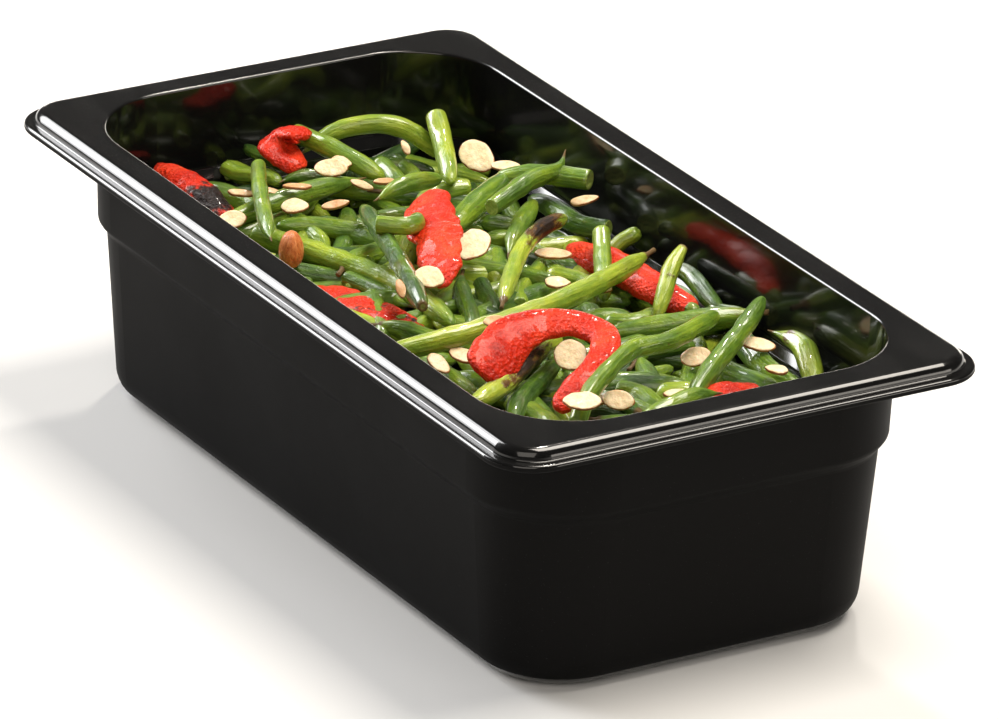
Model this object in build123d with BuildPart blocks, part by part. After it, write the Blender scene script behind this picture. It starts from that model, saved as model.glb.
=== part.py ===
"""Third-size food pan with a serving of green bean salad, in millimetres.

The frame has its origin at the middle of the pan's flat bottom, +X along the
pan's length, +Y across it and +Z up. The pan is one moulded shell with a rim
that it hangs by. The salad lies loose in it: a bed of beans, and on top of
the bed the beans, roasted pepper strips and almonds that lie free.
"""
import os
from math import atan, cos, degrees, pi, radians, sin

from build123d import *

os.makedirs("parts", exist_ok=True)

# Pan: outside size and the rim's lip
length = 325.0
width = 176.0
height = 95.0
lip_corner = 16.5
lip_bottom = 88.7
lip_top = 91.2
lip_round = 1.0

# Pan: raised crown of the rim, inside the lip
crown_inset = 3.4
crown_lean = 0.8
crown_corner = 13.0
crown_roll = 3.4
crown_foot_round = 0.6
mouth_round = 0.8

# Pan: body below the rim
wall = 3.2
corner_centre = 48.0
lower_inset = 21.0
lower_draft = 4.4
lower_top = 59.5
upper_inset = 13.45
upper_bottom = 63.2
upper_draft = 1.9
base_round = 10.0
step_round = 2.2
ledge_rise = 2.6
rim_thickness = 2.8

# Salad: bed
bed_gap = 0.8
bed_floor = wall + 0.4
bed_edge = 54.0
bed_crown = 62.5
bed_slope = 40.0

# Salad: pieces that lie free. Each strip has its two ends, the sideways bow of
# its middle, the upward arch of its middle, half its width and half its thickness.
strips = {
    "pepper_01": ((-138, -43, 71), (-101, -46, 71), 2, 0, 5.0, 3.2),
    "pepper_02": ((-110, -6, 77.5), (-129, -6, 77.5), -4, 0, 5.0, 2.6),
    "pepper_03": ((-57, 12, 80), (-5, -12, 80), -2, 0, 5.5, 2.6),
    "pepper_04": ((-22, 51, 68.5), (33, 53, 68.5), 1, 0, 5.5, 3.5),
    "pepper_05": ((79, -51, 84.5), (53, -6, 84.5), 10, 0, 5.0, 3.4),
    "pepper_06": ((65, 0, 85.5), (93, -35, 74), -1, 0, 4.0, 2.4),
    "pepper_07": ((-32, -42, 66.5), (8, -32, 66.5), 1, 0, 6.0, 2.2),
    "pepper_08": ((108, 27, 74), (108, 38, 74), 1, 0, 5.0, 2.6),
    "bean_01": ((-141, -13, 71), (-122, -2, 71), -2, 0, 3.2, 3.2),
    "bean_02": ((-135, -22, 71), (-115, -16, 71), 1, 0, 3.6, 3.6),
    "bean_03": ((-106, -9, 71), (-105, 9, 71), 1, 0, 3.4, 3.4),
    "bean_04": ((-107, 21, 71), (-90, 23, 71), 1, 0, 4.3, 4.3),
    "bean_05": ((-60, 54, 71), (-26, 62, 71), -2, 0, 4.4, 4.4),
    "bean_06": ((10, 66, 70.5), (41, 63, 70.5), 1, 0, 3.7, 3.7),
    "bean_07": ((69, 52, 71), (104, 50, 71), -2, 0, 4.6, 4.6),
    "bean_08": ((72, 63, 72), (104, 61, 72), 3, 0, 4.4, 4.4),
    "bean_09": ((87, -41, 70), (60, -8, 70), 1, 0, 4.0, 4.0),
    "bean_10": ((32, -46, 70), (61, -43, 70), 1, 0, 4.0, 4.0),
    "bean_11": ((-76, -30, 71), (-62, -15, 71), 1, 0, 3.8, 3.8),
    "bean_12": ((-25, 23, 72), (-45, 44, 76), 0, 0, 3.7, 3.7),
    "bean_13": ((12, -11, 71), (-16, 4, 71), 1, 0, 3.6, 3.6),
    "bean_14": ((-89, -47, 73), (-96, 6, 73), 2, 0, 4.3, 4.3),
    "bean_15": ((-72, -44, 71.5), (20, -22, 71.5), 8, 0, 4.9, 4.9),
    "bean_16": ((-131, 6, 77), (-103, 15, 79), -1, 0, 4.5, 4.5),
    "bean_17": ((-130, 20, 77), (-110, 46, 72), 7, 4, 4.4, 4.4),
    "bean_18": ((-76, 5, 78), (-78, 27, 78), 1, 0, 3.5, 3.5),
    "bean_19": ((-80, 37, 76), (-115, 46, 84), 0, 0, 4.0, 4.0),
    "bean_20": ((-49, 21, 78), (-67, 48, 78), 1, 0, 4.8, 4.8),
    "bean_21": ((-43, 28, 83), (-50, 50, 85), 1, 0, 4.0, 4.0),
    "bean_22": ((-62, 57, 81), (-47, 66, 82), 1, 0, 4.3, 4.3),
    "bean_23": ((-36, -19, 88), (-44, -11, 88), 1, 0, 4.0, 4.0),
    "bean_24": ((-79, -2, 75.5), (12, -36, 84), 0, 0, 4.2, 4.2),
    "bean_25": ((-26, 45, 80), (20, -3, 78), -4, 0, 3.7, 3.7),
    "bean_26": ((25, 27, 71.5), (-8, 47, 79), 0, 0, 3.5, 3.5),
    "bean_27": ((41, 42, 72), (28, 57, 88), 1, 0, 3.6, 3.6),
    "bean_28": ((49, 17, 71), (63, 64, 76), 0, 0, 4.5, 4.5),
    "bean_29": ((102, 17, 76), (74, 56, 87), 0, 0, 4.1, 4.1),
    "bean_30": ((110, -35, 77), (67, 47, 80), 11, 0, 4.5, 4.5),
    "bean_31": ((110, -6, 77), (112, 18, 77), 0, 2, 4.3, 4.3),
    "bean_32": ((81, -53, 76.5), (52, -6, 76.5), -1, 0, 4.3, 4.3),
    "bean_33": ((-52, -49, 81), (-104, -26, 81), 1, 0, 3.2, 3.2),
    "bean_34": ((32, -58, 81), (9, 56, 81), -10, 0, 4.6, 4.6),
}
end_round = 0.7

# Almond slices: centre, half length, half width, thickness, heading and the
# direction that the flat face looks in. The last almond is a whole nut.
almond_slices = {
    "almond_01": ((-88, 51, 80), 6.6, 5.3, 2.0, 20, (0.75, -0.45, 0.55)),
    "almond_02": ((-20, 7, 80), 6.8, 5.5, 2.0, -60, (0.35, -0.25, 0.9)),
    "almond_03": ((67, -7, 77), 5.0, 4.8, 2.0, 0, (0.3, -0.2, 0.95)),
    "almond_04": ((110, -33, 83.5), 5.6, 3.6, 1.8, 60, (0.1, -0.1, 1)),
    "almond_05": ((1, -20, 85), 4.8, 4.0, 1.8, 30, (0.4, -0.3, 0.85)),
    "almond_06": ((-16, 35, 73), 6.0, 2.6, 1.8, 50, (0.2, -0.2, 0.95)),
    "almond_07": ((5, 24, 73), 4.0, 3.0, 1.8, 60, (0.2, -0.1, 0.95)),
    "almond_08": ((-97, -1, 80), 5.6, 2.8, 1.8, 70, (0.2, -0.2, 0.95)),
}
almond_edge_round = 0.5
nut_centre = (-44, -40, 78.5)
nut_half_length = 6.0
nut_radius = 3.6
nut_direction = (0.6, 0.8, 0)


def body_block(skin, floor, base_round, ledge_rise, top):
    """The body's shape shrunk by a skin, as a solid block from floor to top."""
    lower_rise = lower_top + ledge_rise - floor
    step_rise = upper_bottom - lower_top
    lower_lean = lower_rise * sin(radians(lower_draft)) / cos(radians(lower_draft))
    base_inset = lower_inset - floor * sin(radians(lower_draft)) + skin
    ledge_inset = base_inset - lower_lean
    step_lean = ledge_inset - (upper_inset + skin)
    step_taper = -degrees(atan(step_lean / step_rise))
    with BuildPart() as block:
        with BuildSketch(Plane.XY.offset(floor)):
            RectangleRounded(length - 2 * base_inset, width - 2 * base_inset, corner_centre - base_inset)
        extrude(amount=lower_rise, taper=-lower_draft)
        with BuildSketch(Plane.XY.offset(lower_top + ledge_rise)):
            RectangleRounded(length - 2 * ledge_inset, width - 2 * ledge_inset, corner_centre - ledge_inset)
        extrude(amount=step_rise, taper=step_taper)
        ledge_edges = block.edges().filter_by_position(
            Axis.Z, lower_top + ledge_rise - 0.01, lower_top + ledge_rise + 0.01
        )
        with BuildSketch(Plane.XY.offset(upper_bottom + ledge_rise)):
            RectangleRounded(
                length - 2 * (upper_inset + skin),
                width - 2 * (upper_inset + skin),
                corner_centre - upper_inset - skin,
            )
        extrude(amount=top - upper_bottom - ledge_rise, taper=-upper_draft)
        step_edges = block.edges().filter_by_position(
            Axis.Z, upper_bottom + ledge_rise - 0.01, upper_bottom + ledge_rise + 0.01
        )
        fillet(ledge_edges + step_edges, step_round)
        fillet(block.faces().sort_by(Axis.Z)[0].edges(), base_round)
    return block.part


def arc_through(start, end, bow, arch):
    """The middle of a strip's arc, off the chord by its bow and its arch."""
    a = Vector(*start)
    b = Vector(*end)
    chord = b - a
    sideways = Vector(-chord.Y, chord.X, 0).normalized()
    return (a + b) * 0.5 + sideways * bow + Vector(0, 0, arch)


outside = body_block(0, 0, base_round, 0, height - rim_thickness)
inside = body_block(wall, wall, base_round - 2, ledge_rise, height + 5)

# Pan shell: lip, crown, the groove under the crown, then the body and its hollow
with BuildPart() as pan_shell:
    with BuildSketch(Plane.XY.offset(lip_bottom)):
        RectangleRounded(length, width, lip_corner)
    extrude(amount=lip_top - lip_bottom)
    fillet(pan_shell.faces().sort_by(Axis.Z)[-1].edges(), lip_round)
    fillet(pan_shell.faces().sort_by(Axis.Z)[0].edges(), lip_round)
    with BuildSketch(Plane.XY.offset(lip_top)):
        RectangleRounded(length - 2 * crown_inset, width - 2 * crown_inset, crown_corner)
    extrude(amount=height - lip_top, taper=degrees(atan(crown_lean / (height - lip_top))))
    crown_foot = pan_shell.faces().filter_by_position(Axis.Z, lip_top - 0.01, lip_top + 0.01).sort_by(Axis.Z)[0]
    fillet(crown_foot.inner_wires().edges(), crown_foot_round)
    fillet(pan_shell.faces().sort_by(Axis.Z)[-1].edges(), crown_roll)
    with BuildSketch(Plane.XY.offset(lip_bottom)):
        groove_inset = crown_inset + rim_thickness
        RectangleRounded(length - 2 * groove_inset, width - 2 * groove_inset, crown_corner)
    extrude(amount=height - rim_thickness - lip_bottom, mode=Mode.SUBTRACT)
    add(outside)
    add(inside, mode=Mode.SUBTRACT)
    mouth = pan_shell.faces().sort_by(Axis.Z)[-1]
    fillet(mouth.inner_wires().edges(), mouth_round)
pan_shell.part.label = "pan_shell"
export_step(pan_shell.part, "parts/pan_shell.step")

# Bean bed: fills the lower part of the pan and ends in a low dome
bed_base_inset = lower_inset - bed_floor * sin(radians(lower_draft)) + wall + bed_gap
bed_top_inset = bed_base_inset - (bed_edge - bed_floor) * sin(radians(lower_draft))
dome_steps = 5
with BuildPart() as bean_bed:
    with BuildSketch(Plane.XY.offset(bed_floor)):
        RectangleRounded(length - 2 * bed_base_inset, width - 2 * bed_base_inset, corner_centre - bed_base_inset)
    extrude(amount=bed_edge - bed_floor, taper=-lower_draft)
    fillet(bean_bed.faces().sort_by(Axis.Z)[0].edges(), base_round)
    for step in range(dome_steps):
        near = step / dome_steps
        far = (step + 1) / dome_steps
        rise = (bed_crown - bed_edge) * (near - far) * (near + far - 2)
        inset = bed_top_inset + near * bed_slope
        with BuildSketch(Plane.XY.offset(bed_edge + (bed_crown - bed_edge) * near * (2 - near))):
            RectangleRounded(length - 2 * inset, width - 2 * inset, max(corner_centre - inset, 4))
        extrude(amount=rise, taper=degrees(atan(bed_slope * (far - near) / rise)))
bean_bed.part.label = "bean_bed"
export_step(bean_bed.part, "parts/bean_bed.step")

# Beans and pepper strips: a rounded section swept along each strip's arc
for name, (start, end, bow, arch, half_width, half_thickness) in strips.items():
    with BuildPart() as strip:
        with BuildLine() as spine:
            if bow or arch:
                ThreePointArc(start, arc_through(start, end, bow, arch), end)
            else:
                Line(start, end)
        tangent = spine.line % 0
        across = tangent.cross(Vector(0, 0, 1)).normalized()
        with BuildSketch(Plane(origin=start, x_dir=across, z_dir=tangent)):
            if half_width > half_thickness:
                SlotOverall(2 * half_width, 2 * half_thickness)
            else:
                Circle(half_thickness)
        sweep()
        ends = strip.faces().filter_by(GeomType.PLANE)
        fillet(ends.edges(), end_round * half_thickness)
    strip.part.label = name
    export_step(strip.part, f"parts/{name}.step")

# Almond slices: thin oval discs with rounded rims
for name, (centre, half_length, half_width, thickness, heading, facing) in almond_slices.items():
    normal = Vector(*facing).normalized()
    along = Vector(cos(radians(heading)), sin(radians(heading)), 0)
    along = (along - normal * along.dot(normal)).normalized()
    with BuildPart() as slice_part:
        with BuildSketch(Plane(origin=centre, x_dir=along, z_dir=normal)):
            Ellipse(half_length, half_width)
        extrude(amount=thickness / 2, both=True)
        fillet(slice_part.faces().filter_by(GeomType.PLANE).edges(), almond_edge_round)
    slice_part.part.label = name
    export_step(slice_part.part, f"parts/{name}.step")

# Whole almond: half an oval turned about its long axis
with BuildPart() as almond_09:
    with BuildSketch(Plane(origin=nut_centre, x_dir=nut_direction, z_dir=(0, 0, 1))) as half_nut:
        Ellipse(nut_half_length, nut_radius)
        Rectangle(
            2 * nut_half_length, nut_radius, align=(Align.CENTER, Align.MAX), mode=Mode.SUBTRACT
        )
    revolve(axis=Axis(nut_centre, nut_direction))
almond_09.part.label = "almond_09"
export_step(almond_09.part, "parts/almond_09.step")
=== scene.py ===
"""Looks of the third-size food pan with green bean salad, built round its frame.

Everything is in metres in the frame's axes: the origin is at the middle of the
pan's bottom, +X runs along the pan and +Z is up. The pan shell rides on the body
"pan" and all of the food on the body "salad". Lists that give a place on the
object are in millimetres and are turned into metres by MM.
"""
from math import cos, pi, radians, sin
from random import Random

import bpy
import numpy as np
from mathutils import Matrix, Vector, noise


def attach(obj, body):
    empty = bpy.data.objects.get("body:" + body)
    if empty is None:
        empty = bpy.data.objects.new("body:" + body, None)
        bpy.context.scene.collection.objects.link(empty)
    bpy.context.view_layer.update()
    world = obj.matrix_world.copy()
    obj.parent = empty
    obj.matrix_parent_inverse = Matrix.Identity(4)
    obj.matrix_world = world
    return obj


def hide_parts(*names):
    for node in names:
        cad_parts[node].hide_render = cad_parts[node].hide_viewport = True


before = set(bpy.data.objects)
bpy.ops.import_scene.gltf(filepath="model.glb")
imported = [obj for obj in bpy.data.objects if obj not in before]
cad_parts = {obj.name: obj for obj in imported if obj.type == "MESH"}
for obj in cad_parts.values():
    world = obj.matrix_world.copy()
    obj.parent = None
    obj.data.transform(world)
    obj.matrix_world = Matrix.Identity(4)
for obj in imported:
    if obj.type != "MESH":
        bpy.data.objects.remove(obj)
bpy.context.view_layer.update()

MM = 0.001

# ---------------------------------------------------------------- camera
view_azimuth = radians(58.413)
view_elevation = radians(23.468)
view_roll = radians(2.035)
view_distance = 2.94058
view_target = Vector((0.005166, 0.003342, 0.050))
view_lens = 328.57
sensor_width = 36.0


def add_camera():
    back = Vector((
        sin(view_azimuth) * cos(view_elevation),
        -cos(view_azimuth) * cos(view_elevation),
        sin(view_elevation),
    ))
    right = (-back).cross(Vector((0, 0, 1))).normalized()
    up = right.cross(-back)
    rolled_right = right * cos(view_roll) + up * sin(view_roll)
    rolled_up = up * cos(view_roll) - right * sin(view_roll)
    data = bpy.data.cameras.new("camera")
    data.lens = view_lens
    data.sensor_width = sensor_width
    data.clip_end = 30
    camera = bpy.data.objects.new("camera", data)
    camera.matrix_world = Matrix.Translation(view_target + back * view_distance) @ Matrix(
        (rolled_right, rolled_up, back)
    ).transposed().to_4x4()
    bpy.context.scene.collection.objects.link(camera)
    bpy.context.scene.camera = camera


add_camera()


# ---------------------------------------------------------------- node helpers
class Graph:
    """A material's node tree, with a short call for each kind of node."""

    def __init__(self, name):
        self.material = bpy.data.materials.new(name)
        self.material.use_nodes = True
        self.tree = self.material.node_tree
        self.shader = self.tree.nodes["Principled BSDF"]

    def feed(self, socket, value):
        if isinstance(value, bpy.types.NodeSocket):
            self.tree.links.new(value, socket)
        else:
            socket.default_value = value

    def set(self, **values):
        for key, value in values.items():
            self.feed(self.shader.inputs[key.replace("_", " ")], value)

    def attribute(self, name, output="Fac"):
        made = self.tree.nodes.new("ShaderNodeAttribute")
        made.attribute_name = name
        return made.outputs[output]

    def position(self):
        return self.tree.nodes.new("ShaderNodeTexCoord").outputs["Object"]

    def stretch(self, vector, scale):
        made = self.tree.nodes.new("ShaderNodeMapping")
        self.feed(made.inputs["Vector"], vector)
        made.inputs["Scale"].default_value = scale
        return made.outputs["Vector"]

    def noise(self, vector, scale, detail=2.0, rough=0.5, warp=0.0):
        made = self.tree.nodes.new("ShaderNodeTexNoise")
        self.feed(made.inputs["Vector"], vector)
        made.inputs["Scale"].default_value = scale
        made.inputs["Detail"].default_value = detail
        made.inputs["Roughness"].default_value = rough
        made.inputs["Distortion"].default_value = warp
        return made.outputs["Fac"]

    def cells(self, vector, scale, feature="F1"):
        made = self.tree.nodes.new("ShaderNodeTexVoronoi")
        made.feature = feature
        self.feed(made.inputs["Vector"], vector)
        made.inputs["Scale"].default_value = scale
        return made.outputs["Distance"]

    def math(self, operation, a, b=0.0, clamp=False):
        made = self.tree.nodes.new("ShaderNodeMath")
        made.operation = operation
        made.use_clamp = clamp
        self.feed(made.inputs[0], a)
        self.feed(made.inputs[1], b)
        return made.outputs[0]

    def span(self, value, low, high, out_low=0.0, out_high=1.0):
        """Value from low to high, turned smoothly into out_low to out_high."""
        made = self.tree.nodes.new("ShaderNodeMapRange")
        made.interpolation_type = "SMOOTHSTEP"
        self.feed(made.inputs["Value"], value)
        made.inputs["From Min"].default_value = low
        made.inputs["From Max"].default_value = high
        made.inputs["To Min"].default_value = out_low
        made.inputs["To Max"].default_value = out_high
        return made.outputs["Result"]

    def ramp(self, value, stops):
        made = self.tree.nodes.new("ShaderNodeValToRGB")
        self.feed(made.inputs[0], value)
        band = made.color_ramp
        band.elements[0].position = stops[0][0]
        band.elements[0].color = (*stops[0][1], 1)
        band.elements[1].position = stops[-1][0]
        band.elements[1].color = (*stops[-1][1], 1)
        for place, colour in stops[1:-1]:
            band.elements.new(place).color = (*colour, 1)
        return made.outputs["Color"]

    def mix(self, share, a, b, kind="MIX"):
        made = self.tree.nodes.new("ShaderNodeMix")
        made.data_type = "RGBA"
        made.blend_type = kind
        self.feed(made.inputs[0], share)
        self.feed(made.inputs[6], a if isinstance(a, bpy.types.NodeSocket) else (*a, 1))
        self.feed(made.inputs[7], b if isinstance(b, bpy.types.NodeSocket) else (*b, 1))
        return made.outputs[2]

    def bump(self, height, strength, depth, normal=None):
        made = self.tree.nodes.new("ShaderNodeBump")
        made.inputs["Strength"].default_value = strength
        made.inputs["Distance"].default_value = depth
        self.feed(made.inputs["Height"], height)
        if normal is not None:
            self.feed(made.inputs["Normal"], normal)
        return made.outputs["Normal"]


# ---------------------------------------------------------------- stage
def add_floor():
    """A wide pale floor."""
    half = 6.0
    mesh = bpy.data.meshes.new("floor")
    corners = [(-half, -half, 0), (half, -half, 0), (half, half, 0), (-half, half, 0)]
    mesh.from_pydata(corners, [], [(0, 1, 2, 3)])
    floor = bpy.data.objects.new("floor", mesh)
    bpy.context.scene.collection.objects.link(floor)
    graph = Graph("floor")
    graph.set(Base_Color=(0.74, 0.74, 0.74, 1), Roughness=0.9, Specular_IOR_Level=0.05)
    mesh.materials.append(graph.material)


lamp_aim_height = 0.06


def add_light(name, direction, distance, size, power, colour=(1, 1, 1), along=(0, 0, 1)):
    """A soft rectangular lamp that looks at the pan from a direction, its second side laid along another."""
    data = bpy.data.lights.new(name, "AREA")
    data.shape = "RECTANGLE"
    data.size = size[0]
    data.size_y = size[1]
    data.energy = power
    data.color = colour
    lamp = bpy.data.objects.new(name, data)
    place = Vector(direction).normalized() * distance
    away = place.normalized()
    across = Vector(along).cross(away).normalized()
    lamp.matrix_world = Matrix.Translation(place + Vector((0, 0, lamp_aim_height))) @ Matrix(
        (across, away.cross(across), away)
    ).transposed().to_4x4()
    bpy.context.scene.collection.objects.link(lamp)


def add_world(strength):
    world = bpy.data.worlds.new("studio")
    bpy.context.scene.world = world
    world.use_nodes = True
    background = world.node_tree.nodes["Background"]
    background.inputs["Color"].default_value = (1, 1, 1, 1)
    background.inputs["Strength"].default_value = strength


warm = (1.0, 0.93, 0.83)
strip_slant = (0, 0.76, 0.65)
add_floor()
add_world(0.04)
add_light("key_strip", (-0.78, -0.301, 0.447), 3.2, (1.1, 2.9), 97, along=strip_slant)
add_light("key_core", (-0.78, -0.36, 0.47), 3.0, (0.9, 1.3), 36, along=strip_slant)
add_light("top", (0.12, 0.36, 1.0), 2.4, (1.3, 1.3), 78, warm, along=(0, 1, 0))
add_light("back_card", (-0.78, 0.62, 0.075), 3.0, (2.2, 0.30), 16, warm)
add_light("front_fill", (0.9, -0.75, 0.85), 2.6, (2.0, 2.0), 26, warm)
add_light("end_card", (0.92, 0.62, 0.12), 2.8, (1.4, 0.8), 17, warm)
add_light("sparkle", (-0.55, 0.50, 0.95), 2.4, (0.16, 0.16), 16, warm)
bpy.context.scene.view_settings.view_transform = "Standard"
bpy.context.scene.view_settings.look = "None"


# ---------------------------------------------------------------- materials
# The pan's corners are arcs about these points, in metres. wall_middle gives, for
# each height, how far the middle of the wall is from them: what lies further out
# is the pan's outside.
corner_centre_x = 0.1145
corner_centre_y = 0.040
wall_middle = [(0.0, 0.0254), (0.0595, 0.0300), (0.0632, 0.0320), (0.0658, 0.0332), (0.095, 0.0340)]
rim_bottom = 0.0904
pan_height = 0.095
# Reaches are multiplied by this to fit the 0 to 1 of a colour ramp.
reach_scale = 20.0


def pan_plastic():
    """Black plastic: satin outside below the rim, polished on the rim and inside."""
    g = Graph("pan_plastic")
    place = g.position()
    split = g.tree.nodes.new("ShaderNodeSeparateXYZ")
    g.feed(split.inputs[0], place)
    x, y, z = split.outputs
    over_x = g.math("MAXIMUM", g.math("SUBTRACT", g.math("ABSOLUTE", x), corner_centre_x), 0.0)
    over_y = g.math("MAXIMUM", g.math("SUBTRACT", g.math("ABSOLUTE", y), corner_centre_y), 0.0)
    squares = g.math("ADD", g.math("MULTIPLY", over_x, over_x), g.math("MULTIPLY", over_y, over_y))
    reach = g.math("SQRT", squares)
    middle = g.ramp(
        g.math("DIVIDE", z, pan_height),
        [(h / pan_height, (r * reach_scale,) * 3) for h, r in wall_middle],
    )
    outer = g.math("GREATER_THAN", g.math("MULTIPLY", reach, reach_scale), middle)
    below_rim = g.math("LESS_THAN", z, rim_bottom)
    satin = g.math("MULTIPLY", outer, below_rim)

    streaks = g.noise(g.stretch(place, (60, 60, 900)), 1.0, 3.0)
    clouds = g.noise(place, 14.0, 4.0, 0.6)
    smears = g.noise(g.stretch(place, (25, 90, 40)), 1.0, 4.0, 0.55, 0.6)
    grain = g.noise(place, 2600.0, 2.0, 0.6)
    specks = g.span(g.noise(place, 1700.0, 1.0), 0.72, 0.78)

    satin_rough = g.span(clouds, 0.3, 0.75, 0.50, 0.60)
    gloss_rough = g.span(smears, 0.35, 0.75, 0.22, 0.34)
    rough = g.tree.nodes.new("ShaderNodeMix")
    g.feed(rough.inputs[0], satin)
    g.feed(rough.inputs[2], gloss_rough)
    g.feed(rough.inputs[3], satin_rough)
    polish = g.math("SUBTRACT", 1.0, satin)
    tone = g.mix(clouds, (0.0038, 0.0038, 0.0040), (0.0060, 0.0058, 0.0054))
    colour = g.mix(g.math("MULTIPLY", specks, 0.5), tone, (0.03, 0.03, 0.03))
    skin = g.math("ADD", g.math("MULTIPLY", grain, satin), g.math("MULTIPLY", streaks, 0.05))
    g.set(Base_Color=colour, Roughness=rough.outputs[0], Specular_IOR_Level=0.04, IOR=1.5)
    g.set(Coat_Weight=polish, Coat_Roughness=0.10)
    g.set(Normal=g.bump(skin, 0.22, 0.00012))
    return g.material


def bean_skin():
    """Cooked green bean: oiled skin, light to deep green, with scorch marks, cut faces and dry tips."""
    g = Graph("green_bean")
    grain = g.attribute("grain", "Vector")
    shade = g.attribute("shade")
    blotch = g.noise(g.stretch(grain, (110, 110, 60)), 1.0, 3.0, 0.6)
    streak = g.noise(g.stretch(grain, (700, 700, 28)), 1.0, 3.0, 0.55)
    pores = g.cells(g.stretch(grain, (900, 900, 500)), 1.0)
    depth = g.math("ADD", shade, g.span(blotch, 0.25, 0.75, -0.20, 0.20))
    depth = g.math("ADD", depth, g.span(streak, 0.3, 0.7, -0.10, 0.10), True)
    colour = g.ramp(depth, [
        (0.0, (0.400, 0.470, 0.045)),
        (0.25, (0.230, 0.330, 0.026)),
        (0.5, (0.112, 0.205, 0.018)),
        (0.75, (0.048, 0.110, 0.014)),
        (1.0, (0.017, 0.046, 0.008)),
    ])
    olive = g.span(g.noise(g.stretch(grain, (60, 60, 35)), 1.3, 2.0), 0.55, 0.75, 0.0, 0.45)
    colour = g.mix(olive, colour, (0.170, 0.150, 0.016))
    fleck = g.span(g.noise(g.stretch(grain, (420, 420, 300)), 1.0, 2.0, 0.6), 0.70, 0.76, 0.0, 0.7)
    colour = g.mix(fleck, colour, (0.120, 0.045, 0.012))
    patches = g.noise(g.stretch(grain, (300, 300, 120)), 1.0, 4.0, 0.65)
    scorch = g.math("ADD", g.attribute("char"), g.span(patches, 0.2, 0.8, -0.45, 0.45))
    singe = g.span(scorch, 0.28, 0.62)
    colour = g.mix(singe, colour, (0.130, 0.060, 0.014))
    burn = g.span(scorch, 0.55, 0.85)
    colour = g.mix(burn, colour, (0.018, 0.008, 0.004))
    face = g.attribute("cut")
    grits = g.span(g.noise(g.stretch(grain, (900, 900, 900)), 1.0, 2.0), 0.35, 0.65)
    flesh = g.mix(grits, (0.36, 0.44, 0.10), (0.24, 0.34, 0.06))
    colour = g.mix(g.span(face, 0.2, 0.8), colour, flesh)
    withered = g.mix(streak, (0.20, 0.12, 0.035), (0.055, 0.028, 0.012))
    dry = g.span(g.attribute("dry"), 0.15, 0.75)
    colour = g.mix(dry, colour, withered)
    dull = g.math("MAXIMUM", g.math("MULTIPLY", burn, 0.5), dry)
    rough = g.math("ADD", g.span(blotch, 0.3, 0.7, 0.26, 0.42), g.math("MULTIPLY", dull, 0.35))
    g.set(Base_Color=colour, Roughness=rough)
    oil = g.span(g.noise(g.stretch(grain, (140, 140, 70)), 1.0, 3.0), 0.34, 0.62, 0.10, 1.0)
    coat = g.math("SUBTRACT", oil, g.math("MULTIPLY", dull, 0.6), True)
    g.set(Coat_Weight=coat, Coat_Roughness=0.05, Specular_IOR_Level=0.35)
    g.set(Subsurface_Weight=0.06, Subsurface_Scale=0.002)
    g.shader.inputs["Subsurface Radius"].default_value = (0.7, 1.0, 0.25)
    relief = g.math("ADD", g.math("MULTIPLY", streak, 0.9), g.math("MULTIPLY", pores, 0.15))
    puckers = g.noise(g.stretch(grain, (330, 330, 210)), 1.0, 4.0, 0.6)
    relief = g.math("ADD", relief, g.math("MULTIPLY", puckers, 1.2))
    relief = g.math("ADD", relief, g.math("MULTIPLY", singe, -0.6))
    g.set(Normal=g.bump(relief, 0.9, 0.0007))
    return g.material


def pepper_flesh():
    """Roasted red pepper: wet, grainy red flesh with deeper red patches and black scorch marks, which on
    pepper_07 also serve as painted shade.
    """
    g = Graph("roasted_pepper")
    place = g.position()
    broad = g.noise(place, 70.0, 3.0, 0.6)
    fine = g.noise(place, 620.0, 3.0, 0.65)
    colour = g.ramp(g.math("ADD", g.math("MULTIPLY", broad, 0.75), g.math("MULTIPLY", fine, 0.25)), [
        (0.30, (0.340, 0.010, 0.003)),
        (0.45, (0.600, 0.022, 0.005)),
        (0.58, (0.780, 0.042, 0.009)),
        (0.76, (0.850, 0.120, 0.034)),
    ])
    # The char attribute is mostly real scorch, but on pepper_07 a second mark is painted shade that darkens
    # the strip where it lies in shadow.
    scorch = g.math("ADD", g.attribute("char"), g.span(g.noise(place, 330.0, 4.0, 0.65), 0.2, 0.8, -0.4, 0.4))
    colour = g.mix(g.span(scorch, 0.3, 0.6), colour, (0.080, 0.012, 0.006))
    colour = g.mix(g.span(scorch, 0.55, 0.8), colour, (0.012, 0.006, 0.005))
    pits = g.cells(place, 900.0)
    relief = g.math("ADD", g.math("MULTIPLY", fine, 1.2), g.math("MULTIPLY", pits, 0.6))
    relief = g.math("ADD", relief, g.math("MULTIPLY", g.noise(place, 260.0, 3.0, 0.6), 1.0))
    g.set(Base_Color=colour, Roughness=g.span(broad, 0.3, 0.7, 0.30, 0.44), Specular_IOR_Level=0.2)
    g.set(Coat_Weight=g.span(broad, 0.35, 0.65, 0.08, 0.34), Coat_Roughness=0.08)
    g.set(Subsurface_Weight=0.12, Subsurface_Scale=0.002)
    g.shader.inputs["Subsurface Radius"].default_value = (1.0, 0.22, 0.12)
    g.set(Normal=g.bump(relief, 0.9, 0.0010))
    return g.material


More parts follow.
